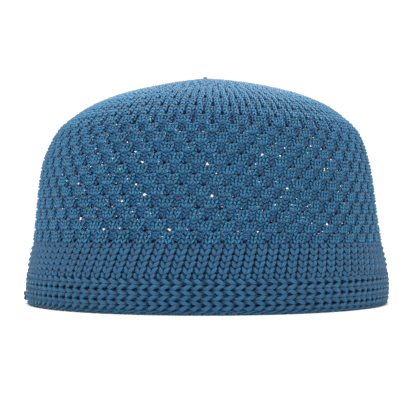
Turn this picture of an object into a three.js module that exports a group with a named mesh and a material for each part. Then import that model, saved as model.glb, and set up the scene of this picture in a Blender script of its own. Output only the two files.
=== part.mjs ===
import * as THREE from 'three';

// A knitted kufi cap that stands on its rim. Millimetres, +Z up, the front faces -Y.
// The origin is the middle of the rim, on the surface that the cap stands on.

// Clear space left between one knitted piece and the next
const PIECE_GAP = 0.3;

// Mesh steps round the cap: one for each rib of the crown, and fewer on the plain rings
const CROWN_STEPS = 108;
const RING_STEPS = 72;

// Heights where one kind of knitting changes into the next
const EDGE_TOP = 3.1;
const HEM_TOP = 16.2;
const BAND_TOP = 30.5;
const CAP_HEIGHT = 111.5;

// How thick the knitting is
const CROWN_WALL = 2.6;
const BAND_WALL = 3.0;
const HEM_WALL = 3.4;

// How far the sunk blocks of the crown lie below the raised ones
const BLOCK_DEPTH = 0.9;

// The cap's outer surface: how far it reaches from the middle to its left, to its right,
// and to its front and back, at each height
const OUTER_SECTIONS = [
  { height: 0.0, left: 89.4, right: 89.4, depth: 79.5 },
  { height: 8.5, left: 90.0, right: 90.0, depth: 80.0 },
  { height: 16.5, left: 89.4, right: 89.4, depth: 79.4 },
  { height: 22.0, left: 88.4, right: 88.4, depth: 78.4 },
  { height: 30.0, left: 86.7, right: 86.6, depth: 76.9 },
  { height: 44.0, left: 85.3, right: 84.3, depth: 75.4 },
  { height: 60.0, left: 83.6, right: 82.2, depth: 74.0 },
  { height: 70.0, left: 81.7, right: 80.3, depth: 72.6 },
  { height: 79.0, left: 78.0, right: 77.6, depth: 70.6 },
  { height: 85.5, left: 74.0, right: 74.2, depth: 68.0 },
  { height: 91.5, left: 67.0, right: 67.8, depth: 63.2 },
  { height: 97.0, left: 58.3, right: 60.2, depth: 56.5 },
  { height: 102.0, left: 46.5, right: 49.0, depth: 46.0 },
  { height: 106.0, left: 32.0, right: 35.5, depth: 32.5 },
  { height: 109.5, left: 15.5, right: 18.5, depth: 16.0 },
  { height: CAP_HEIGHT, left: 0.0, right: 0.0, depth: 0.0 },
];

// Heights of the rows of small slits that part one row of crown blocks from the next
const SLIT_HEIGHTS = [
  30.9, 36.6, 41.5, 46.5, 51.8, 56.5, 61.3, 65.7, 70.8, 75.3, 80.1, 84.1, 88.5, 92.9, 96.8,
];

// Rings above the blocks, where straight ribs gather to the top and the grooves between
// them die out
const GATHER_RINGS = [
  { height: 99.6, groove: 0.7 },
  { height: 103.4, groove: 0.6 },
  { height: 106.8, groove: 0.45 },
  { height: 109.4, groove: 0.25 },
  { height: 111.0, groove: 0.0 },
];

// Heights of the rings on the crown's inner side, from the top down
const INNER_HEIGHTS = [111.0, 107.2, 102.0, 95.0, 86.0, 76.0, 61.0, 46.0];

// Section of the hem's outer side: three rolls, one for each row of chain stitches
const HEM_SECTION = [
  { height: 3.4, out: -0.7 },
  { height: 5.1, out: 0.0 },
  { height: 6.9, out: -0.7 },
  { height: 9.2, out: 0.0 },
  { height: 11.6, out: -0.7 },
  { height: 13.9, out: 0.0 },
  { height: HEM_TOP, out: -0.6 },
];

// Section of the cord along the lower edge, with the flat that it rests on
const EDGE_SECTION = [
  { height: 0.0, out: -0.8 },
  { height: 0.9, out: -0.1 },
  { height: 2.1, out: -0.1 },
  { height: EDGE_TOP, out: -0.8 },
  { height: EDGE_TOP, out: -2.3 },
  { height: 2.1, out: -3.0 },
  { height: 0.9, out: -3.0 },
  { height: 0.0, out: -2.4 },
];

// The small lump at the left where the rounds of the hem are joined
const JOIN_LUMP = { angle: Math.PI, height: 5.6, reach: 6.5, tall: 3.2, proud: 2.2 };

const SURFACE_SAMPLES = 60;

function centripetalStep(a, b) {
  return Math.sqrt(Math.hypot(b.height - a.height, b.left - a.left));
}

function mixed(a, b, share) {
  const section = {};
  for (const key of Object.keys(a)) {
    section[key] = a[key] + (b[key] - a[key]) * share;
  }
  return section;
}

// A section past each end of the table, so that the curve runs on at the rim and is
// round over the top
function withEnds(sections) {
  const [first, second] = sections;
  const last = sections.at(-1);
  const before = sections.at(-2);
  const start = mixed(first, second, -1);
  const end = { ...before };
  for (const key of ['left', 'right', 'depth']) {
    end[key] = 2 * last[key] - before[key];
  }
  return [start, ...sections, end];
}

// Points along a smooth curve through the table, by the Barry-Goldman form of the
// centripetal Catmull-Rom spline
function smoothSections(sections) {
  const knots = withEnds(sections);
  const curve = [];
  for (let i = 1; i < knots.length - 2; i += 1) {
    const [p0, p1, p2, p3] = knots.slice(i - 1, i + 3);
    const t1 = centripetalStep(p0, p1);
    const t2 = t1 + centripetalStep(p1, p2);
    const t3 = t2 + centripetalStep(p2, p3);
    for (let n = 0; n < SURFACE_SAMPLES; n += 1) {
      const t = t1 + ((t2 - t1) * n) / SURFACE_SAMPLES;
      const a1 = mixed(p0, p1, t / t1);
      const a2 = mixed(p1, p2, (t - t1) / (t2 - t1));
      const a3 = mixed(p2, p3, (t - t2) / (t3 - t2));
      const b1 = mixed(a1, a2, t / t2);
      const b2 = mixed(a2, a3, (t - t1) / (t3 - t1));
      curve.push(mixed(b1, b2, (t - t1) / (t2 - t1)));
    }
  }
  curve.push(sections.at(-1));
  return curve;
}

const OUTER_CURVE = smoothSections(OUTER_SECTIONS);

function sectionAt(height) {
  const next = Math.max(1, OUTER_CURVE.findIndex((section) => section.height >= height));
  const a = OUTER_CURVE[next - 1];
  const b = OUTER_CURVE[next];
  return mixed(a, b, (height - a.height) / (b.height - a.height));
}

function pointOn(section, angle) {
  const across = Math.cos(angle);
  const reach = (section.right * (1 + across) + section.left * (1 - across)) / 2;
  return new THREE.Vector3(reach * across, section.depth * Math.sin(angle), section.height);
}

// A point that stands off the outer surface, along the surface's own normal
function pointOff(height, angle, out) {
  const rise = Math.min(0.5, (CAP_HEIGHT - height) / 2);
  const place = pointOn(sectionAt(height), angle);
  const above = pointOn(sectionAt(height + rise), angle);
  const beside = pointOn(sectionAt(height), angle + 0.01);
  const normal = beside.sub(place).cross(above.sub(place)).normalize();
  return place.addScaledVector(normal, out);
}

// A point beside the outer surface at its own height, for the flat-ended rings
function pointBeside(height, angle, out) {
  const place = pointOn(sectionAt(height), angle);
  const flat = new THREE.Vector3(place.x, place.y, 0).normalize();
  return place.addScaledVector(flat, out);
}

function ring(steps, pointAt) {
  return Array.from({ length: steps }, (_, step) => pointAt(step, (2 * Math.PI * step) / steps));
}

// Joins a closed loop of rings into one skin. A ring of a single point is a pole.
function skin(rings) {
  const corners = [];
  const faces = [];
  const firstOf = rings.map((points) => {
    const first = corners.length / 3;
    points.forEach((point) => corners.push(...point.toArray()));
    return first;
  });
  rings.forEach((lower, i) => {
    const next = (i + 1) % rings.length;
    const upper = rings[next];
    const steps = Math.max(lower.length, upper.length);
    for (let j = 0; j < steps && steps > 1; j += 1) {
      const low = [j, (j + 1) % steps].map((k) => firstOf[i] + (k % lower.length));
      const high = [j, (j + 1) % steps].map((k) => firstOf[next] + (k % upper.length));
      if (lower.length > 1) {
        faces.push(low[0], low[1], high[1]);
      }
      if (upper.length > 1) {
        faces.push(low[0], high[1], high[0]);
      }
    }
  });
  const geometry = new THREE.BufferGeometry();
  geometry.setAttribute('position', new THREE.Float32BufferAttribute(corners, 3));
  geometry.setIndex(faces);
  geometry.computeVertexNormals();
  return geometry;
}

function lumpAt(height, angle) {
  const around = ((angle - JOIN_LUMP.angle) * OUTER_SECTIONS[0].left) / JOIN_LUMP.reach;
  const upright = (height - JOIN_LUMP.height) / JOIN_LUMP.tall;
  return JOIN_LUMP.proud * Math.exp(-(around ** 2) - upright ** 2);
}

// Raised knit blocks and sunk purl blocks take turns round the crown, and each row is
// set half a repeat beside the row below it
function blockOffset(row, step) {
  return (row + step) % 2 === 0 ? 0 : -BLOCK_DEPTH;
}

function crownGeometry() {
  const base = BAND_TOP + PIECE_GAP;
  const rings = [ring(CROWN_STEPS, (_, angle) => pointBeside(base, angle, 0))];
  for (let row = 0; row < SLIT_HEIGHTS.length - 1; row += 1) {
    const middle = (SLIT_HEIGHTS[row] + SLIT_HEIGHTS[row + 1]) / 2;
    rings.push(ring(CROWN_STEPS, (step, angle) => pointOff(middle, angle, blockOffset(row, step))));
  }
  for (const { height, groove } of GATHER_RINGS) {
    rings.push(ring(CROWN_STEPS, (step, angle) => pointOff(height, angle, -groove * (step % 2))));
  }
  rings.push([new THREE.Vector3(0, 0, CAP_HEIGHT)]);
  rings.push([new THREE.Vector3(0, 0, CAP_HEIGHT - CROWN_WALL)]);
  for (const height of INNER_HEIGHTS) {
    rings.push(ring(CROWN_STEPS, (_, angle) => pointOff(height, angle, -CROWN_WALL)));
  }
  rings.push(ring(CROWN_STEPS, (_, angle) => pointBeside(base, angle, -CROWN_WALL)));
  return skin(rings);
}

function bandGeometry() {
  const bottom = HEM_TOP + PIECE_GAP;
  const outside = [0, 0.25, 0.5, 0.75, 1];
  const inside = [1, 0.5, 0];
  const heightAt = (share) => bottom + (BAND_TOP - bottom) * share;
  const upright = (share, out) => ring(
    RING_STEPS,
    (_, angle) => pointBeside(heightAt(share), angle, out),
  );
  return skin([
    ...outside.map((share) => upright(share, 0)),
    ...inside.map((share) => upright(share, -BAND_WALL)),
  ]);
}

function hemGeometry() {
  const outside = HEM_SECTION.map(({ height, out }) => ring(
    RING_STEPS,
    (_, angle) => pointBeside(height, angle, out + lumpAt(height, angle)),
  ));
  const inside = [HEM_TOP, EDGE_TOP + PIECE_GAP].map((height) => ring(
    RING_STEPS,
    (_, angle) => pointBeside(height, angle, -HEM_WALL),
  ));
  return skin([...outside, ...inside]);
}

function edgeCordGeometry() {
  return skin(EDGE_SECTION.map(({ height, out }) => ring(
    RING_STEPS,
    (_, angle) => pointBeside(height, angle, out),
  )));
}

function knitted(name, geometry, color) {
  const material = new THREE.MeshStandardMaterial({ color, roughness: 0.8, metalness: 0 });
  const piece = new THREE.Mesh(geometry, material);
  piece.name = name;
  return piece;
}

const cap = new THREE.Group();
cap.name = 'kufi_cap';
cap.add(knitted('crown', crownGeometry(), '#4f83a9'));
cap.add(knitted('band', bandGeometry(), '#477aa0'));
cap.add(knitted('hem', hemGeometry(), '#42759c'));
cap.add(knitted('edge_cord', edgeCordGeometry(), '#3d6f95'));

export default cap;
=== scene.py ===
import math
from collections import namedtuple

import bpy
import numpy as np
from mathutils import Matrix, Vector


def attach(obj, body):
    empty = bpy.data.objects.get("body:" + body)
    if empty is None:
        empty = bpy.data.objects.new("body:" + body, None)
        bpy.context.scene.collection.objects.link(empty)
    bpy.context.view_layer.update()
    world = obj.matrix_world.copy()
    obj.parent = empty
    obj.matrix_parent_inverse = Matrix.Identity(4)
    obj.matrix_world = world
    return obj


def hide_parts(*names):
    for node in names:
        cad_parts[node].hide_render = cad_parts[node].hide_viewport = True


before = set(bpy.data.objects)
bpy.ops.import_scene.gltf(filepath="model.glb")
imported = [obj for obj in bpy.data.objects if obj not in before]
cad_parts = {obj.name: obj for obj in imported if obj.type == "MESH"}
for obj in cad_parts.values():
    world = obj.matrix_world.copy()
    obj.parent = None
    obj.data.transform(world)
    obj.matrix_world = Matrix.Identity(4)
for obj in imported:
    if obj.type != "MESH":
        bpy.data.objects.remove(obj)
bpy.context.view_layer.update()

# A knitted kufi cap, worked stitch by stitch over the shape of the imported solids. Lengths
# are in millimetres where a name ends in _MM or a comment says so, and in metres otherwise.
MM = 0.001
FULL_TURN = 2 * math.pi
SEED = 7

# Heights where one kind of knitting changes into the next. The stitches of hem and band
# reach into each other, where the solids keep a gap
HEM_TOP_MM = 16.2
BAND_BOTTOM_MM = 16.1
BAND_TOP_MM = 30.5

# The cap's outer surface in mm: height, and reach to the left, to the right, and to
# the front and back
OUTER_SECTIONS = np.array([
    (0.0, 89.4, 89.4, 79.5),
    (8.5, 90.0, 90.0, 80.0),
    (16.5, 89.4, 89.4, 79.4),
    (22.0, 88.4, 88.4, 78.4),
    (30.0, 86.7, 86.6, 76.9),
    (44.0, 85.3, 84.3, 75.4),
    (60.0, 83.6, 82.2, 74.0),
    (70.0, 81.7, 80.3, 72.6),
    (79.0, 78.0, 77.6, 70.6),
    (85.5, 74.0, 74.2, 68.0),
    (91.5, 67.0, 67.8, 63.2),
    (97.0, 58.3, 60.2, 56.5),
    (102.0, 46.5, 49.0, 46.0),
    (106.0, 32.0, 35.5, 32.5),
    (109.5, 15.5, 18.5, 16.0),
    (111.5, 0.0, 0.0, 0.0),
])
SURFACE_SAMPLES = 60

# Heights of the rows of small slits between one row of crown blocks and the next
SLIT_HEIGHTS_MM = (
    30.9, 36.6, 41.5, 46.5, 51.8, 56.5, 61.3, 65.7, 70.8, 75.3, 80.1, 84.1, 88.5, 92.9, 96.8,
)

# How far the columns of stitches lean to the right on the way up, at heights in mm
LEAN_HEIGHTS_MM = (0, 16, 17, 30, 45, 55, 64, 73, 88, 112)
LEAN = (0.1, 0.1, 0.25, 0.3, 0.26, 0.22, 0.16, 0.11, 0.03, 0)

# The crown's rows hang lower on the right than on the left, and lower at the back than at
# the front. The sway is an angle by which columns move closer together or apart
TILT_MM = 1.7
WAVE_MM = 0.5
SAG_MM = 1.15
BACK_SAG_MM = 0.45
SAG_STARTS_OVER_MM = 10
COLUMN_SWAY = 0.01
PATTERN_TURN = math.radians(-95.35)

# The crown's blocks of purl stitches take turns with blocks of knit stitches
REPEATS = 52
COURSES_PER_ROW = 3
LOOP_SAMPLES = 8
CROWN_SIDES = 4

# The yarn's radius in a wale of the width below it. The radius goes with the square root
# of the width, up to the last value times that width
CROWN_YARN_MM = 0.53
YARN_FULL_AT_WALE_MM = 2.35
WIDEST_WALE = 1.1

# Crown loops: depths in yarn radii, height in courses, slant in wales, the pull that draws
# a purl block's wales together in repeats, and swells as shares of the yarn radius
LOOP_DEPTH = 1.15
PURL_LESS_DEEP = 0.5
LOOP_HEIGHT = 0.66
LEG_SLANT = 0.35
PURL_PULL = -0.077
PULL_RISE = 1.25
SWELL = 0.17
BEND_SWELL = 0.25
CROWN_LEAD = 0.8
# A bend links two rounds, and takes its kind from the upper one by this share
LINK_SHARE = 0.55
KIND_SHARPNESS = 2.8

# The height from which the crown is drawn up into narrow creases, and how soon it is so in
# full. The pairs hold values for the upright side and for the creases: how much knit there
# is, and of the pits the depth, half width in repeats, half height in rows, and the share
# of their depth that the painted shade leaves out. Their middle is in rows from the row's
# start
DRAWN_FROM_MM = 78
DRAWN_OVER_MM = 13
KNIT_BIAS = (0.4, 0.7)
PIT_DEPTH_MM = (1.0, 2.3)
PIT_HALF_WIDTH = (0.27, 0.12)
PIT_HALF_HEIGHT = (0.42, 0.72)
PIT_LIT_SHARE = (0.6, 0.0)
PIT_MIDDLE = 0.53

# Slits: how far loops move away from a row line, at least and at most. The factors on it
# are the one at the cap's sides, what the back has more and the front has less than that,
# and one more on the lowest line
SLIT_MIN_MM = 0.35
SLIT_MAX_MM = 0.95
SLIT_GAPE = 1.45
SLIT_GAPE_TO_BACK = 0.5
SLIT_GAPE_LOWEST_ROW = 2

# A slit's half width in repeats, the share of the move that the first, second and third
# round beside the line make, and how much flatter the first round's loops become
SLIT_HALF_WIDTH = 0.155
SLIT_FADE = (1.0, 0.45, 0.15)
SLIT_FLATTENING = 0.62

# Towards the middle wales are dropped: least reach in mm, wales and repeats of a round
WALE_STEPS = (
    (43, 4 * REPEATS, REPEATS),
    (21, 2 * REPEATS, REPEATS),
    (10.5, REPEATS, REPEATS // 2),
    (0, REPEATS // 2, REPEATS // 4),
)

# Rows above the listed heights: about how high they are, how far from the middle they end,
# and how near to it no yarn is led
TOP_ROW_MM = 7.3
ROWS_END_REACH_MM = 3.4
CLEAR_OF_MIDDLE_MM = 0.5

# Rings of the crown's end in mm: reach, lift over the surface, yarn radius. The smallest is
# the nub. They lie a little to the left of the cap's axis
END_RINGS = (
    (3.9, -0.9, 0.8),
    (2.8, -0.8, 0.8),
    (1.6, -0.6, 0.8),
    (0.45, 0.45, 0.6),
)
END_SIDE_MM = -1.4
END_RIPPLES = 9
END_RIPPLE = 0.06
SMALL_RING_SAMPLES = 48

# Band and hem are of thicker yarn. Arch is the depth of their loops in yarn radii
THICK_SAMPLES = 12
THICK_SIDES = 6
THICK_LEAD = 0.7
ARCH = 1.1

# Band: heights are in courses, slant and skew in wales. Its yarn is buried by this many
# radii, and sinks by its end sink for every step that it comes too near to an edge
BAND_WALES = 2 * REPEATS
BAND_COURSES = 6
BAND_YARN_MM = 0.92
BAND_LOOP_HEIGHT = 0.8
BAND_FIRST_COURSE = 0.2
BAND_LOST_COURSES = 0.6
BAND_BURIED = 0.95
BAND_END_SINK = 0.8
BAND_SLANT = 0.26
BAND_SKEW = 0.05
BAND_SWELL = 0.14

# Hem: the lines are those below and above its rows of chain stitches. Slant is in rows,
# pull in wales, and buried and the margins to the lowest and highest line in yarn radii
HEM_WALES = 114
HEM_YARN_MM = 1.06
HEM_LINES_MM = (1.9, 6.3, 10.9, 15.7)
HEM_BURIED = 0.9
HEM_SLANT = 0.29
HEM_PULL = 0.6
HEM_SWELL = 0.16
HEM_LOW_MARGIN = 0.3
HEM_TOP_MARGIN = 0.1

# Level rounds of yarn behind band and hem, and one at the hem's foot: depth under the outer
# surface, yarn radius and number. For the painted shade, only a share of the depth counts
BAND_BACK_MM = 2.35
BAND_BACK_YARN_MM = 0.85
BAND_BACK_ROUNDS = 7
HEM_BACK_MM = 2.7
HEM_BACK_YARN_MM = 0.95
HEM_BACK_ROUNDS = 8
HEM_FOOT_MM = 2.2
HEM_FOOT_YARN_MM = 0.8
BACK_SHADE = 0.7
BACK_MARGIN_MM = 1
HEM_BACK_TOP_MARGIN_MM = 0.6

# The knot at the left, and the cord of two plies along the lower edge. The cord's middle
# lies at the edge height, and this far inside the outer surface
KNOT_HEIGHT_MM = 4.3
KNOT_YARN_MM = 0.75
EDGE_TURNS = BAND_WALES // 2
EDGE_SAMPLES = 24
EDGE_PLY_MM = 0.55
EDGE_TWIST_MM = 0.53
EDGE_HEIGHT_MM = 1.09
EDGE_INSET_MM = 1.4

# Unevenness of the stitches: shares of a loop's height, shares of a wale, and a length
CROWN_HEIGHT_WOBBLE = 0.04
CROWN_SHIFT_WOBBLE = 0.03
BAND_HEIGHT_WOBBLE = 0.03
BAND_SHIFT_WOBBLE = 0.02
HEM_WOBBLE = 0.03
STRAY_MM = 0.05

# A piece of the crown gets as many rounds as make up to this many triangles
PIECE_TRIANGLES = 190000

# The sheet that holds a piece's colours when they are baked: how many wales of the crown
# lie in a strip, and the gaps at a strip's ends and sides, as shares of its length and width
WALES_IN_STRIP = 35
SHEET_END_GAP = 0.002
SHEET_SIDE_GAP = 0.04

# Yarn: twists in a stitch, how much painted shade each ply adds to the grooves between plies,
# and how strong and deep the bump of these grooves is
TWISTS_PER_STITCH = 4
PLY_SHADE = 0.07
GROOVE_STRENGTH = 0.6
GROOVE_MM = 0.2

# Painted light and shade: factors on the yarn's colour at the outer surface and deep between
# its neighbours, and the depth from which the painted shade begins. The patches hold places
# on a ramp and factors on the colour
PAINTED_LIGHT_FACTOR = (1.12, 1.12, 1.06, 1)
PAINTED_SHADE_FACTOR = (0.03, 0.28, 0.46, 1)
SHADE_FROM_MM = 0.1
PATCHES = ((0.3, 0.82), (0.7, 1.16))
PATCH_SCALE = 260
YARN_SURFACE = {
    "Roughness": 0.48,
    "Specular IOR Level": 0.42,
    "Sheen Weight": 0.06,
    "Sheen Roughness": 0.45,
}

# The camera's lens, place and direction. Angles are against straight ahead
LENS_MM = 95.19
SENSOR_MM = 36
CAMERA_DISTANCE = 0.550
CAMERA_HEIGHT = 0.041
CAMERA_TURN = math.radians(-5)
CAMERA_TILT = math.radians(0.625)

# Brightness of the surround at the horizon, straight above, and as the camera sees it
SKY_SIDE = 0.35
SKY_TOP = 1.9
SKY_SEEN = 1.1

# Lamps: name, place, aim, size in metres and power in watts. The weak one under the cap
# keeps the slits from looking black
LAMPS = (
    ("top_lamp", (0, 0.15, 1.1), (0, 0, 0.1), 0.9, 14),
    ("front_lamp", (-0.5, -1.3, 0.8), (0, 0, 0.06), 0.8, 5),
    ("inside_lamp", (0, 0, 0.012), (0, 0, 0.1), 0.1, 0.03),
)

# A round of the crown, and closed tubes with what their mesh needs: stitches or twists in a
# round, strips of the bake sheet for a round, and depth under the surface in mm, which sets
# the painted shade
Round = namedtuple("Round", "wales repeats row part run_low course")
Tubes = namedtuple("Tubes", "rings turns strips sunk")


def unit(vectors):
    """Each vector at length one."""
    return vectors / np.linalg.norm(vectors, axis=-1, keepdims=True)


def between(pair, drawn):
    """A value between its amount on the upright side and in the drawn-up top."""
    return pair[0] + (pair[1] - pair[0]) * drawn


def smooth_sections(sections):
    """Points along a centripetal Catmull-Rom curve through the table, in metres."""
    start = 2 * sections[0] - sections[1]
    end = 2 * sections[-1] - sections[-2]
    # The dome is level in its middle, so the height beyond it mirrors the height before it
    end[0] = sections[-2][0]
    knots = np.vstack([start, sections, end])
    curve = []
    for i in range(1, len(knots) - 2):
        p0, p1, p2, p3 = knots[i - 1:i + 3]
        gaps = [math.sqrt(math.hypot(*(b - a)[:2])) for a, b in ((p0, p1), (p1, p2), (p2, p3))]
        t1, t2, t3 = np.cumsum(gaps)
        t = np.linspace(t1, t2, SURFACE_SAMPLES, endpoint=False)[:, None]
        a1 = p0 + (p1 - p0) * t / t1
        a2 = p1 + (p2 - p1) * (t - t1) / (t2 - t1)
        a3 = p2 + (p3 - p2) * (t - t2) / (t3 - t2)
        b1 = a1 + (a2 - a1) * t / t2
        b2 = a2 + (a3 - a2) * (t - t1) / (t3 - t1)
        curve.append(b1 + (b2 - b1) * (t - t1) / (t2 - t1))
    curve.append(sections[-1:])
    return np.vstack(curve) * MM


def summed(steps):
    """Running sums of the steps, from zero on."""
    return np.concatenate([[0], np.cumsum(steps)])


OUTER_CURVE = smooth_sections(OUTER_SECTIONS)
OUTER_HEIGHT = OUTER_CURVE[:, 0]
MEAN_REACH = (OUTER_CURVE[:, 1] + OUTER_CURVE[:, 2] + 2 * OUTER_CURVE[:, 3]) / 4
OUTER_RUN = summed(np.hypot(np.diff(OUTER_HEIGHT), np.diff(MEAN_REACH)))
TOP_RUN = OUTER_RUN[-1]

# The angle by which the leaning columns have moved round the cap, along its profile
LEAN_ON_CURVE = np.interp(OUTER_HEIGHT / MM, LEAN_HEIGHTS_MM, LEAN)
DRIFT = summed(np.diff(OUTER_RUN) * (LEAN_ON_CURVE / np.maximum(MEAN_REACH, MM))[1:])


def run_at(height_mm):
    """How far along the cap's profile, from the rim up, a height lies."""
    return np.interp(np.asarray(height_mm) * MM, OUTER_HEIGHT, OUTER_RUN)


def reach_at(run):
    """The cap's mean radius at a place along the profile."""
    return np.interp(run, OUTER_RUN, MEAN_REACH)


def surface_point(angle, run):
    """The point of the outer surface at an angle round the cap and a place up it."""
    height, left, right, depth = (np.interp(run, OUTER_RUN, OUTER_CURVE[:, k]) for k in range(4))
    across = np.cos(angle)
    reach = (right * (1 + across) + left * (1 - across)) / 2
    return np.stack([reach * across, depth * np.sin(angle), height + 0 * angle], axis=-1)


def surface_normal(angle, run):
    """The outward direction there, from points a small turn and a small rise away."""
    turn = 0.004
    rise = 0.4 * MM
    run = np.clip(run, 2 * rise, TOP_RUN - 2 * rise)
    around = surface_point(angle + turn, run) - surface_point(angle - turn, run)
    upward = surface_point(angle, run + rise) - surface_point(angle, run - rise)
    return unit(np.cross(around, upward))


def on_cap(angle, run, out):
    """Points that stand off the knitting's outer surface, and the outward direction at each."""
    from_front = angle + math.pi / 2
    above_band = np.clip((run - run_at(BAND_TOP_MM)) / (SAG_STARTS_OVER_MM * MM), 0, 1)
    share = above_band * reach_at(run) / MEAN_REACH[0]
    hang = TILT_MM * np.sin(from_front) + WAVE_MM * np.sin(3 * from_front)
    hang = hang + SAG_MM - BACK_SAG_MM * np.cos(from_front)
    run = run - share * hang * MM
    turn = angle - COLUMN_SWAY * np.sin(4 * from_front) + np.interp(run, OUTER_RUN, DRIFT)
    normal = surface_normal(turn, run)
    return surface_point(turn, run) + normal * out[..., None], normal


def tube(centres, outward, radius, sides, lead=0):
    """Corners of a closed tube round a closed row of centres. Where lead is 1 the tube is
    cut square to the stretch ahead, where it is -1 to the stretch behind."""
    centres = centres[None]
    outward = outward[None]
    ahead = unit(np.roll(centres, -1, axis=1) - centres)
    behind = unit(centres - np.roll(centres, 1, axis=1))
    lead = np.broadcast_to(lead, centres.shape[:2])[..., None]
    tangent = unit(ahead * (1 + lead) + behind * (1 - lead))
    lift = unit(outward - np.sum(outward * tangent, axis=-1, keepdims=True) * tangent)
    side = np.cross(tangent, lift)
    turn = FULL_TURN * np.arange(sides) / sides
    spoke = lift[:, :, None] * np.cos(turn)[:, None] + side[:, :, None] * np.sin(turn)[:, None]
    radius = np.broadcast_to(radius, centres.shape[:2])
    return centres[:, :, None] + radius[..., None, None] * spoke


def sunk_below(rings, outward, centres, out):
    """How far each corner lies under the outer surface in mm, which sets the painted shade."""
    proud = np.sum((rings - centres[None, :, None]) * outward[None, :, None], axis=-1)
    return -(out[None, :, None] + proud) / MM


def all_at(rings, depth_mm):
    """The same depth for the painted shade at every corner."""
    return np.full(rings.shape[:3], depth_mm)


def tube_faces(part, first, row, rows_in_all):
    """Corner numbers, places on the bake sheet and places along the yarn, for each face."""
    count, steps, sides = part.rings.shape[:3]
    ring, i, k = np.meshgrid(np.arange(count), np.arange(steps), np.arange(sides), indexing="ij")
    face_i = np.stack([i, i, i + 1, i + 1], axis=-1)
    face_k = np.stack([k, k + 1, k + 1, k], axis=-1)
    base = first + ring[..., None] * steps * sides
    faces = base + (face_i % steps) * sides + face_k % sides
    # A round lies on the bake sheet in strips, one above the other, with thin gaps between
    length = steps / part.strips
    strip = np.minimum(i // length, part.strips - 1)[..., None]
    inner_length = 1 - 2 * SHEET_END_GAP
    inner_width = 1 - 2 * SHEET_SIDE_GAP
    sheet_u = SHEET_END_GAP + inner_length * (face_i - strip * length) / math.ceil(length)
    strip_row = row + ring[..., None] * part.strips + strip
    sheet_v = (strip_row + SHEET_SIDE_GAP + inner_width * face_k / sides) / rows_in_all
    sheet = np.stack([np.clip(sheet_u, 0, 1), sheet_v], axis=-1)
    twist = np.stack([face_i / steps * part.turns, face_k / sides], axis=-1)
    return faces.reshape(-1, 4), sheet.reshape(-1, 2), twist.reshape(-1, 2)


def yarn_mesh(name, parts):
    """One mesh of closed tubes."""
    rows_in_all = sum(part.rings.shape[0] * part.strips for part in parts)
    first = 0
    row = 0
    face_sets = []
    for part in parts:
        face_sets.append(tube_faces(part, first, row, rows_in_all))
        first += part.rings[..., 0].size
        row += part.rings.shape[0] * part.strips
    corners = np.vstack([part.rings.reshape(-1, 3) for part in parts])
    faces, sheets, twists = (np.vstack(values) for values in zip(*face_sets))
    mesh = bpy.data.meshes.new(name)
    mesh.vertices.add(len(corners))
    mesh.vertices.foreach_set("co", corners.astype(np.float32).ravel())
    mesh.loops.add(faces.size)
    mesh.loops.foreach_set("vertex_index", faces.astype(np.int32).ravel())
    mesh.polygons.add(len(faces))
    mesh.polygons.foreach_set("loop_start", np.arange(0, faces.size, 4, dtype=np.int32))
    for layer_name, places in (("OFBake", sheets), ("yarn", twists)):
        layer = mesh.uv_layers.new(name=layer_name, do_init=False)
        layer.uv.foreach_set("vector", places.astype(np.float32).ravel())
    # Each corner's depth, which the material turns into painted light and shade
    sunk = np.concatenate([part.sunk.ravel() for part in parts])
    layer = mesh.attributes.new("sunk", "FLOAT", "POINT")
    layer.data.foreach_set("value", sunk.astype(np.float32))
    mesh.update(calc_edges=True)
    mesh.shade_smooth()
    piece = bpy.data.objects.new(name, mesh)
    bpy.context.scene.collection.objects.link(piece)
    return piece


def finish_piece(piece, node, material):
    """Gives a piece its material, and ties it to the solid that it stands for."""
    piece.data.materials.append(material)
    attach(piece, "root")
    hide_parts(node)


def wobble(rng, count, amount):
    """A small random value for each stitch of a round, like its neighbours' values."""
    neighbours_share = 0.5
    # Divided by this, the sums below vary about as much as the single values
    spread = 1.2
    raw = rng.normal(0, amount, count)
    neighbours = (neighbours_share * np.roll(raw, 1), neighbours_share * np.roll(raw, -1))
    return (raw + neighbours[0] + neighbours[1]) / spread


def along_round(values, place):
    """Values given for each stitch, read at places along the round."""
    count = len(values)
    return np.interp(place % count, np.arange(count + 1), np.append(values, values[0]))


def off_middle(place, row, size):
    """How far, in wales, a place lies beside the middle of the row's nearest purl block.
    Size is the number of wales in a repeat."""
    middle = size / 4 - 0.5 + size / 2 * (row % 2)
    return (place - middle + size / 2) % size - size / 2


def stitch_kind(place, row, size, drawn):
    """Near -1 where a row has purl stitches, and near 1 where it has knit ones."""
    wave = -np.cos(FULL_TURN * off_middle(place, row, size) / size)
    return np.tanh(KIND_SHARPNESS * (wave + between(KNIT_BIAS, drawn)))


def pit_depth(place, row, size, rise, drawn):
    """1 in the middle of a purl block's pit and 0 outside it. Rise is in rows from the row's
    start."""
    across = off_middle(place, row, size) / (between(PIT_HALF_WIDTH, drawn) * size)
    upward = (rise - PIT_MIDDLE) / between(PIT_HALF_HEIGHT, drawn)
    return np.exp(-(across ** 2 + upward ** 2) ** 2)


def slit_window(place, row, size):
    """1 over the middle of the purl blocks that start a row, and 0 away from them."""
    return np.exp(-(off_middle(place, row, size) / (SLIT_HALF_WIDTH * size)) ** 4)


def open_slits(run, height, place, this, size, opening):
    """Moves a round's loops away from the row lines beside it, where slits gape. On the
    line below, only the loops' lower halves are flattened."""
    lower_half = np.cos(FULL_TURN * place) < 0
    beside = (
        (this.row, 1, this.part, lower_half),
        (this.row + 1, -1, COURSES_PER_ROW - 1 - this.part, 1),
    )
    for line_row, way, rounds_off, flattened in beside:
        window = slit_window(place, line_row, size)
        gape = along_round(opening[line_row], place / size - 0.5 * (line_row % 2))
        run = run + way * SLIT_FADE[rounds_off] * window * gape
        if rounds_off == 0:
            run = run - height * SLIT_FLATTENING * window * flattened
    return run


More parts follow.
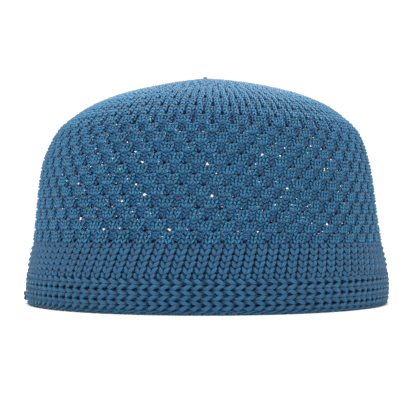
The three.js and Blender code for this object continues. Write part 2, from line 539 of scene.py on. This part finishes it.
def crown_round(rng, this, opening):
    """The tube of one round of crown loops."""
    size = this.wales / this.repeats
    drawn = float(np.clip((this.run_low - run_at(DRAWN_FROM_MM)) / (DRAWN_OVER_MM * MM), 0, 1))
    place = np.arange(this.wales * LOOP_SAMPLES) / LOOP_SAMPLES
    t = FULL_TURN * place
    wale_width = FULL_TURN * reach_at(this.run_low) / this.wales
    width_share = min(WIDEST_WALE, wale_width / (YARN_FULL_AT_WALE_MM * MM))
    radius = CROWN_YARN_MM * MM * math.sqrt(width_share)
    share = (this.part + 0.5) / COURSES_PER_ROW
    # Loops: legs follow this round, bends also the round that they are linked with
    above = this.row + 1 if this.part == COURSES_PER_ROW - 1 else this.row
    below = this.row - 1 if this.part == 0 else this.row
    kind = stitch_kind(place, this.row, size, drawn)
    kind_above = stitch_kind(place, above, size, drawn)
    kind_below = stitch_kind(place, below, size, drawn)
    upper_bend = LINK_SHARE * kind_above + (1 - LINK_SHARE) * kind
    lower_bend = LINK_SHARE * kind + (1 - LINK_SHARE) * kind_below
    swing = np.cos(2 * t)
    in_bend = swing > 0
    loop_kind = np.where(in_bend, np.where(np.cos(t) > 0, upper_bend, lower_bend), kind)
    behind = loop_kind * swing
    depth = -radius * (LOOP_DEPTH - PURL_LESS_DEEP * (kind < 0)) * behind
    grow = along_round(1 + wobble(rng, this.wales, CROWN_HEIGHT_WOBBLE), place)
    height = LOOP_HEIGHT * this.course * np.cos(t) * grow
    run = this.run_low + share * this.course * COURSES_PER_ROW + height
    run = open_slits(run, height, place, this, size, opening)
    # Pits sink the purl blocks of this row and of the rows beside it
    rise = (run - this.run_low) / (this.course * COURSES_PER_ROW)
    pits = [pit_depth(place, this.row + k, size, rise - k, drawn) for k in (-1, 0, 1)]
    relief = -between(PIT_DEPTH_MM, drawn) * MM * np.max(pits, axis=0)
    stray = along_round(wobble(rng, this.wales, STRAY_MM * MM), place)
    out = relief + depth - (LOOP_DEPTH + 1) * radius + stray
    # The wales of a purl block are pulled together, most above the middle of the row
    pull = PURL_PULL * size * math.sin(math.pi * share ** PULL_RISE)
    pulled = pull * np.sin(FULL_TURN * off_middle(place, this.row, size) / size)
    shift = along_round(wobble(rng, this.wales, CROWN_SHIFT_WOBBLE), place)
    wale = place + LEG_SLANT * np.sin(2 * t) + pulled + shift
    angle = PATTERN_TURN + FULL_TURN * wale / this.wales
    centres, outward = on_cap(angle, np.minimum(run, TOP_RUN - CLEAR_OF_MIDDLE_MM * MM), out)
    thickness = radius * (1 + SWELL * np.cos(4 * t) + BEND_SWELL * np.abs(behind) * in_bend)
    rings = tube(centres, outward, thickness, CROWN_SIDES, CROWN_LEAD * kind * np.sin(2 * t))
    # The painted shade counts only part of a pit's depth on the upright side, all of it in the creases
    sunk = sunk_below(rings, outward, centres, out - between(PIT_LIT_SHARE, drawn) * relief)
    return Tubes(rings, turns=this.wales, strips=max(1, this.wales // WALES_IN_STRIP), sunk=sunk)


def wales_at(reach):
    """Wales and repeats of a round of the crown."""
    for least_reach_mm, wales, repeats in WALE_STEPS:
        if reach > least_reach_mm * MM:
            return wales, repeats


def crown_plan():
    """The crown's rounds from the band up, and the number of its row lines."""
    lines = list(run_at(SLIT_HEIGHTS_MM))
    top_run = TOP_RUN - ROWS_END_REACH_MM * MM - lines[-1]
    top_rows = round(top_run / (TOP_ROW_MM * MM))
    lines += [lines[-1] + top_run * (k + 1) / top_rows for k in range(top_rows)]
    plan = []
    for row in range(len(lines) - 1):
        course = (lines[row + 1] - lines[row]) / COURSES_PER_ROW
        for part in range(COURSES_PER_ROW):
            wales, repeats = wales_at(reach_at(lines[row] + part * course))
            plan.append(Round(wales, repeats, row, part, lines[row], course))
    return plan, len(lines)


def crown_end():
    """Rings of yarn drawn together in the middle of the crown, under a small nub."""
    parts = []
    u = FULL_TURN * np.arange(SMALL_RING_SAMPLES) / SMALL_RING_SAMPLES
    flat = np.stack([np.cos(u), np.sin(u), 0 * u], axis=-1)
    for reach, lift, yarn in END_RINGS:
        ripple = 1 + END_RIPPLE * np.sin(END_RIPPLES * u + reach)
        level = np.interp(TOP_RUN - reach * MM, OUTER_RUN, OUTER_HEIGHT) + lift * MM
        centres = flat * (reach * ripple * MM)[:, None] + np.array([END_SIDE_MM * MM, 0, level])
        upward = np.broadcast_to([0.0, 0.0, 1.0], centres.shape)
        rings = tube(centres, upward, yarn * MM, sides=5)
        parts.append(Tubes(rings, turns=9, strips=1, sunk=all_at(rings, depth_mm=0.4)))
    return parts


def make_crown(material):
    """The crown in several pieces, each of a number of rounds."""
    rng = np.random.default_rng(SEED)
    plan, line_count = crown_plan()
    # The slits gape wider at the back than at the front
    angle = PATTERN_TURN + FULL_TURN * np.arange(REPEATS) / REPEATS
    gape = (SLIT_GAPE + SLIT_GAPE_TO_BACK * np.sin(angle)) * MM
    opening = [gape * rng.uniform(SLIT_MIN_MM, SLIT_MAX_MM, REPEATS) for _ in range(line_count + 1)]
    opening[0] = SLIT_GAPE_LOWEST_ROW * opening[0]
    pieces = [[]]
    load = 0
    for this in plan:
        triangles = 2 * this.wales * LOOP_SAMPLES * CROWN_SIDES
        if load + triangles > PIECE_TRIANGLES:
            pieces.append([])
            load = 0
        pieces[-1].append(crown_round(rng, this, opening))
        load += triangles
    pieces[-1] += crown_end()
    for number, parts in enumerate(pieces, 1):
        finish_piece(yarn_mesh(f"crown_knit_{number}", parts), "crown", material)


def back_rounds(heights_mm, depth_mm, yarn_mm):
    """Level rounds of yarn at the back of the thick knitting, which close it behind."""
    steps = 3 * REPEATS
    angle = FULL_TURN * np.arange(steps) / steps
    parts = []
    for height_mm in heights_mm:
        run = run_at(height_mm) + 0 * angle
        centres, outward = on_cap(angle, run, -depth_mm * MM + 0 * angle)
        rings = tube(centres, outward, yarn_mm * MM, sides=4)
        sunk = all_at(rings, BACK_SHADE * depth_mm)
        parts.append(Tubes(rings, turns=steps, strips=4, sunk=sunk))
    return parts


def make_band(material):
    """The band's rounds of broad stitches."""
    rng = np.random.default_rng(SEED + 1)
    low = run_at(BAND_BOTTOM_MM)
    high = run_at(BAND_TOP_MM)
    course = (high - low) / (BAND_COURSES - BAND_LOST_COURSES)
    radius = BAND_YARN_MM * MM
    place = np.arange(BAND_WALES * THICK_SAMPLES) / THICK_SAMPLES
    t = FULL_TURN * place
    parts = []
    for n in range(BAND_COURSES):
        grow = along_round(1 + wobble(rng, BAND_WALES, BAND_HEIGHT_WOBBLE), place)
        run = low + (n + BAND_FIRST_COURSE) * course + BAND_LOOP_HEIGHT * course * np.cos(t) * grow
        # Loops that reach up to the band's edges or past them sink behind its neighbours
        beyond = np.maximum(low + radius - run, 0) + np.maximum(run - high + radius, 0)
        arch = -ARCH * np.cos(2 * t) - ARCH - BAND_BURIED
        stray = along_round(wobble(rng, BAND_WALES, STRAY_MM * MM), place)
        out = radius * arch + stray - BAND_END_SINK * beyond
        shift = along_round(wobble(rng, BAND_WALES, BAND_SHIFT_WOBBLE), place)
        wale = place + BAND_SLANT * np.sin(2 * t) - BAND_SKEW * np.sin(t) + shift
        centres, outward = on_cap(PATTERN_TURN + FULL_TURN * wale / BAND_WALES, run, out)
        thickness = radius * (1 + BAND_SWELL * np.cos(4 * t))
        rings = tube(centres, outward, thickness, THICK_SIDES, THICK_LEAD * np.sin(2 * t))
        sunk = sunk_below(rings, outward, centres, out)
        parts.append(Tubes(rings, turns=BAND_WALES, strips=6, sunk=sunk))
    lowest_mm = BAND_BOTTOM_MM + BACK_MARGIN_MM
    highest_mm = BAND_TOP_MM - BACK_MARGIN_MM
    heights_mm = np.linspace(lowest_mm, highest_mm, BAND_BACK_ROUNDS)
    parts += back_rounds(heights_mm, BAND_BACK_MM, BAND_BACK_YARN_MM)
    finish_piece(yarn_mesh("band_knit", parts), "band", material)


def join_knot():
    """The knot at the cap's left, just above the rim, where the last yarn is fastened off."""
    wide = 1.1 * MM
    tall = 1.6 * MM
    curl = 0.5 * MM
    lift = 0.1 * MM
    u = FULL_TURN * np.arange(SMALL_RING_SAMPLES) / SMALL_RING_SAMPLES
    run = run_at(KNOT_HEIGHT_MM) + tall * np.cos(u) - curl * np.cos(2 * u)
    along = wide * np.sin(u) + curl * np.sin(2 * u)
    angle = math.pi + along / reach_at(run)
    normal = surface_normal(angle, run)
    centres = surface_point(angle, run) + normal * (curl * np.sin(3 * u) + lift)[:, None]
    rings = tube(centres, normal, KNOT_YARN_MM * MM, THICK_SIDES)
    return Tubes(rings, turns=8, strips=1, sunk=all_at(rings, depth_mm=0.3))


def make_hem(material):
    """Three rows of chain stitches that run round the cap, worked as knitting on its side:
    one yarn that goes up the hem in one wale and down it in the next."""
    rng = np.random.default_rng(SEED + 2)
    chains = len(HEM_LINES_MM) - 1
    edges = run_at(HEM_LINES_MM)
    radius = HEM_YARN_MM * MM
    across = (np.arange(chains * THICK_SAMPLES) + 0.5) / THICK_SAMPLES
    t = FULL_TURN * across - math.pi
    run_up = np.interp(across + HEM_SLANT * np.sin(2 * t), np.arange(chains + 1), edges)
    out_up = radius * (-ARCH * np.cos(2 * t) - ARCH - HEM_BURIED)
    columns = []
    for n in range(HEM_WALES):
        uneven = np.interp(across, np.arange(chains) + 0.5, rng.normal(0, HEM_WOBBLE, chains))
        wale = n - HEM_PULL * np.cos(t) - uneven
        way = np.full(len(t), -1 if n % 2 else 1)
        column = np.stack([PATTERN_TURN + FULL_TURN * wale / HEM_WALES, run_up, out_up, t, way])
        columns.append(column[:, ::-1] if n % 2 else column)
    angle, run, out, t, way = np.concatenate(columns, axis=1)
    run = np.clip(run, edges[0] + HEM_LOW_MARGIN * radius, edges[-1] - HEM_TOP_MARGIN * radius)
    centres, outward = on_cap(angle, run, out)
    bend = np.maximum(np.cos(2 * t), 0)
    thickness = radius * (1 + HEM_SWELL * np.cos(4 * t) + BEND_SWELL * bend)
    rings = tube(centres, outward, thickness, THICK_SIDES, THICK_LEAD * way * np.sin(2 * t))
    sunk = sunk_below(rings, outward, centres, out)
    parts = [Tubes(rings, turns=HEM_WALES * chains, strips=18, sunk=sunk), join_knot()]
    lowest_mm = HEM_LINES_MM[0] + BACK_MARGIN_MM
    highest_mm = HEM_TOP_MM - HEM_BACK_TOP_MARGIN_MM
    heights_mm = np.linspace(lowest_mm, highest_mm, HEM_BACK_ROUNDS)
    parts += back_rounds(heights_mm, HEM_BACK_MM, HEM_BACK_YARN_MM)
    parts += back_rounds(HEM_LINES_MM[:1], HEM_FOOT_MM, HEM_FOOT_YARN_MM)
    finish_piece(yarn_mesh("hem_knit", parts), "hem", material)


def make_edge(material):
    """The cord along the lower edge: two plies twisted round each other."""
    place = np.arange(EDGE_TURNS * EDGE_SAMPLES) / EDGE_SAMPLES
    middle = surface_point(FULL_TURN * place / EDGE_TURNS, run_at(EDGE_HEIGHT_MM))
    level = unit(middle * np.array([1, 1, 0]))
    middle = middle - level * EDGE_INSET_MM * MM
    up = np.array([0.0, 0.0, 1.0])
    parts = []
    for phase in (0, math.pi):
        lay = FULL_TURN * place + phase
        reach = np.cos(lay)[:, None] * level + np.sin(lay)[:, None] * up
        centres = middle + EDGE_TWIST_MM * MM * reach
        rings = tube(centres, reach, EDGE_PLY_MM * MM, THICK_SIDES)
        sunk = all_at(rings, depth_mm=0.6)
        parts.append(Tubes(rings, turns=EDGE_TURNS, strips=12, sunk=sunk))
    finish_piece(yarn_mesh("edge_cord_yarn", parts), "edge_cord", material)


def linear(red, green, blue):
    """A display colour from 0 to 255 as the linear colour that shaders take."""
    values = [c / 255 for c in (red, green, blue)]
    return [c / 12.92 if c <= 0.04045 else ((c + 0.055) / 1.055) ** 2.4 for c in values] + [1]


def add_node(tree, kind, inputs=None, **settings):
    """A new node. Each of its inputs is given a value, or the output that it follows."""
    node = tree.nodes.new(kind)
    for name, value in settings.items():
        setattr(node, name, value)
    for socket, value in (inputs or {}).items():
        if isinstance(value, bpy.types.NodeSocket):
            tree.links.new(value, node.inputs[socket])
        else:
            node.inputs[socket].default_value = value
    return node


def multiplied(tree, first, second):
    """The product of two colours."""
    inputs = {"Factor": 1, "A": first, "B": second}
    node = add_node(tree, "ShaderNodeMix", inputs, data_type="RGBA", blend_type="MULTIPLY")
    return node.outputs["Result"]


def uneven_colour(tree, colour):
    """The yarn's colour, a little darker and lighter in small patches."""
    place = add_node(tree, "ShaderNodeTexCoord")
    inputs = {"Vector": place.outputs["Object"], "Scale": PATCH_SCALE, "Detail": 3}
    patches = add_node(tree, "ShaderNodeTexNoise", inputs)
    tone = add_node(tree, "ShaderNodeValToRGB", {"Fac": patches.outputs["Fac"]})
    for element, (position, strength) in zip(tone.color_ramp.elements, PATCHES):
        element.position = position
        element.color = [min(1, strength * c) for c in linear(*colour)[:3]] + [1]
    return tone.outputs["Color"]


def ply_wave(tree, plies):
    """A wave from -1 to 1 over the plies, which slant round the yarn."""
    yarn = add_node(tree, "ShaderNodeUVMap", uv_map="yarn")
    split = add_node(tree, "ShaderNodeSeparateXYZ", {"Vector": yarn.outputs["UV"]})
    around = add_node(tree, "ShaderNodeMath", {0: split.outputs["Y"], 1: plies}, operation="MULTIPLY")
    inputs = {0: split.outputs["X"], 1: TWISTS_PER_STITCH, 2: around.outputs[0]}
    lay = add_node(tree, "ShaderNodeMath", inputs, operation="MULTIPLY_ADD")
    angle = add_node(tree, "ShaderNodeMath", {0: lay.outputs[0], 1: FULL_TURN}, operation="MULTIPLY")
    return add_node(tree, "ShaderNodeMath", {0: angle.outputs[0]}, operation="SINE").outputs[0]


def painted_depth_shade(tree, depth_mm):
    """Painted shade: the deeper the yarn lies between its neighbours, the darker and bluer."""
    sunk = add_node(tree, "ShaderNodeAttribute", attribute_name="sunk")
    inputs = {
        "Value": sunk.outputs["Fac"],
        "From Min": SHADE_FROM_MM,
        "From Max": depth_mm,
        "To Min": 0,
        "To Max": 1,
    }
    deep = add_node(tree, "ShaderNodeMapRange", inputs, interpolation_type="SMOOTHSTEP")
    inputs = {"Factor": deep.outputs["Result"], "A": PAINTED_LIGHT_FACTOR, "B": PAINTED_SHADE_FACTOR}
    return add_node(tree, "ShaderNodeMix", inputs, data_type="RGBA").outputs["Result"]


def yarn_material(name, colour, plies, depth_mm):
    """Smooth nylon yarn: plied strands with painted shade in the grooves between them, slight
    unevenness of colour and a soft sheen. Yarn that lies depth_mm under the outer surface is
    in full painted shade."""
    material = bpy.data.materials.new(name)
    material.use_nodes = True
    tree = material.node_tree
    shader = tree.nodes["Principled BSDF"]
    for socket, value in YARN_SURFACE.items():
        shader.inputs[socket].default_value = value
    shader.inputs["Sheen Tint"].default_value = linear(205, 228, 245)
    wave = ply_wave(tree, plies)
    inputs = {"Height": wave, "Strength": GROOVE_STRENGTH, "Distance": GROOVE_MM * MM}
    bump = add_node(tree, "ShaderNodeBump", inputs)
    # Painted shade: the colour is darker in the grooves between the plies
    inputs = {"Value": wave, "From Min": -1, "From Max": 1, "To Min": 1 - PLY_SHADE * plies, "To Max": 1}
    shade = add_node(tree, "ShaderNodeMapRange", inputs)
    plied = multiplied(tree, uneven_colour(tree, colour), shade.outputs["Result"])
    tree.links.new(multiplied(tree, plied, painted_depth_shade(tree, depth_mm)), shader.inputs["Base Color"])
    tree.links.new(bump.outputs["Normal"], shader.inputs["Normal"])
    return material


def floor_material():
    """A matt, nearly white floor."""
    material = bpy.data.materials.new("pale_floor")
    material.use_nodes = True
    shader = material.node_tree.nodes["Principled BSDF"]
    shader.inputs["Base Color"].default_value = (0.8, 0.8, 0.8, 1)
    shader.inputs["Roughness"].default_value = 0.9
    shader.inputs["Specular IOR Level"].default_value = 0.1
    return material


def make_floor():
    """A wide pale floor."""
    bpy.ops.mesh.primitive_circle_add(vertices=96, radius=8, fill_type="NGON", location=(0, 0, 0))
    floor = bpy.context.object
    floor.name = "floor"
    floor.data.materials.append(floor_material())


def make_camera():
    """The photograph's viewpoint: a little above the rim and slightly from the left, aimed
    at the cap's axis and slightly up."""
    data = bpy.data.cameras.new("camera")
    camera = bpy.data.objects.new("camera", data)
    bpy.context.scene.collection.objects.link(camera)
    data.lens = LENS_MM
    data.sensor_width = SENSOR_MM
    data.clip_start = 0.01
    ahead = (-math.sin(CAMERA_TURN), math.cos(CAMERA_TURN))
    camera.location = (-CAMERA_DISTANCE * ahead[0], -CAMERA_DISTANCE * ahead[1], CAMERA_HEIGHT)
    camera.rotation_mode = "QUATERNION"
    camera.rotation_quaternion = Vector((*ahead, math.tan(CAMERA_TILT))).to_track_quat("-Z", "Y")
    bpy.context.scene.camera = camera


def make_lamp(name, place, aim, size, power):
    """A soft square lamp, which the camera doesn't see."""
    data = bpy.data.lights.new(name, "AREA")
    data.shape = "SQUARE"
    data.size = size
    data.energy = power
    lamp = bpy.data.objects.new(name, data)
    lamp.location = place
    lamp.rotation_mode = "QUATERNION"
    lamp.rotation_quaternion = (Vector(aim) - Vector(place)).to_track_quat("-Z", "Y")
    lamp.visible_camera = False
    bpy.context.scene.collection.objects.link(lamp)


def make_surround():
    """A surround that is brighter above than at the sides, and white to the camera."""
    world = bpy.data.worlds.new("surround")
    world.use_nodes = True
    tree = world.node_tree
    place = add_node(tree, "ShaderNodeTexCoord")
    split = add_node(tree, "ShaderNodeSeparateXYZ", {"Vector": place.outputs["Generated"]})
    inputs = {
        "Value": split.outputs["Z"],
        "From Min": 0,
        "From Max": 1,
        "To Min": SKY_SIDE,
        "To Max": SKY_TOP,
    }
    sky = add_node(tree, "ShaderNodeMapRange", inputs)
    path = add_node(tree, "ShaderNodeLightPath")
    inputs = {"Factor": path.outputs["Is Camera Ray"], "A": sky.outputs["Result"], "B": SKY_SEEN}
    seen = add_node(tree, "ShaderNodeMix", inputs)
    background = tree.nodes["Background"]
    background.inputs["Color"].default_value = (1, 1, 1, 1)
    tree.links.new(seen.outputs["Result"], background.inputs["Strength"])
    bpy.context.scene.world = world
    bpy.context.scene.view_settings.view_transform = "Standard"


make_camera()
make_floor()
make_crown(yarn_material("crown_knit", (39, 110, 150), plies=2, depth_mm=1.45))
# Band, hem and edge are the crown's yarn; their darker colours are painted shade
make_band(yarn_material("band_knit", (24, 85, 124), plies=4, depth_mm=2.2))
make_hem(yarn_material("hem_knit", (24, 86, 125), plies=5, depth_mm=2.8))
make_edge(yarn_material("edge_yarn", (24, 82, 119), plies=4, depth_mm=3.0))
make_surround()
for lamp in LAMPS:
    make_lamp(*lamp)
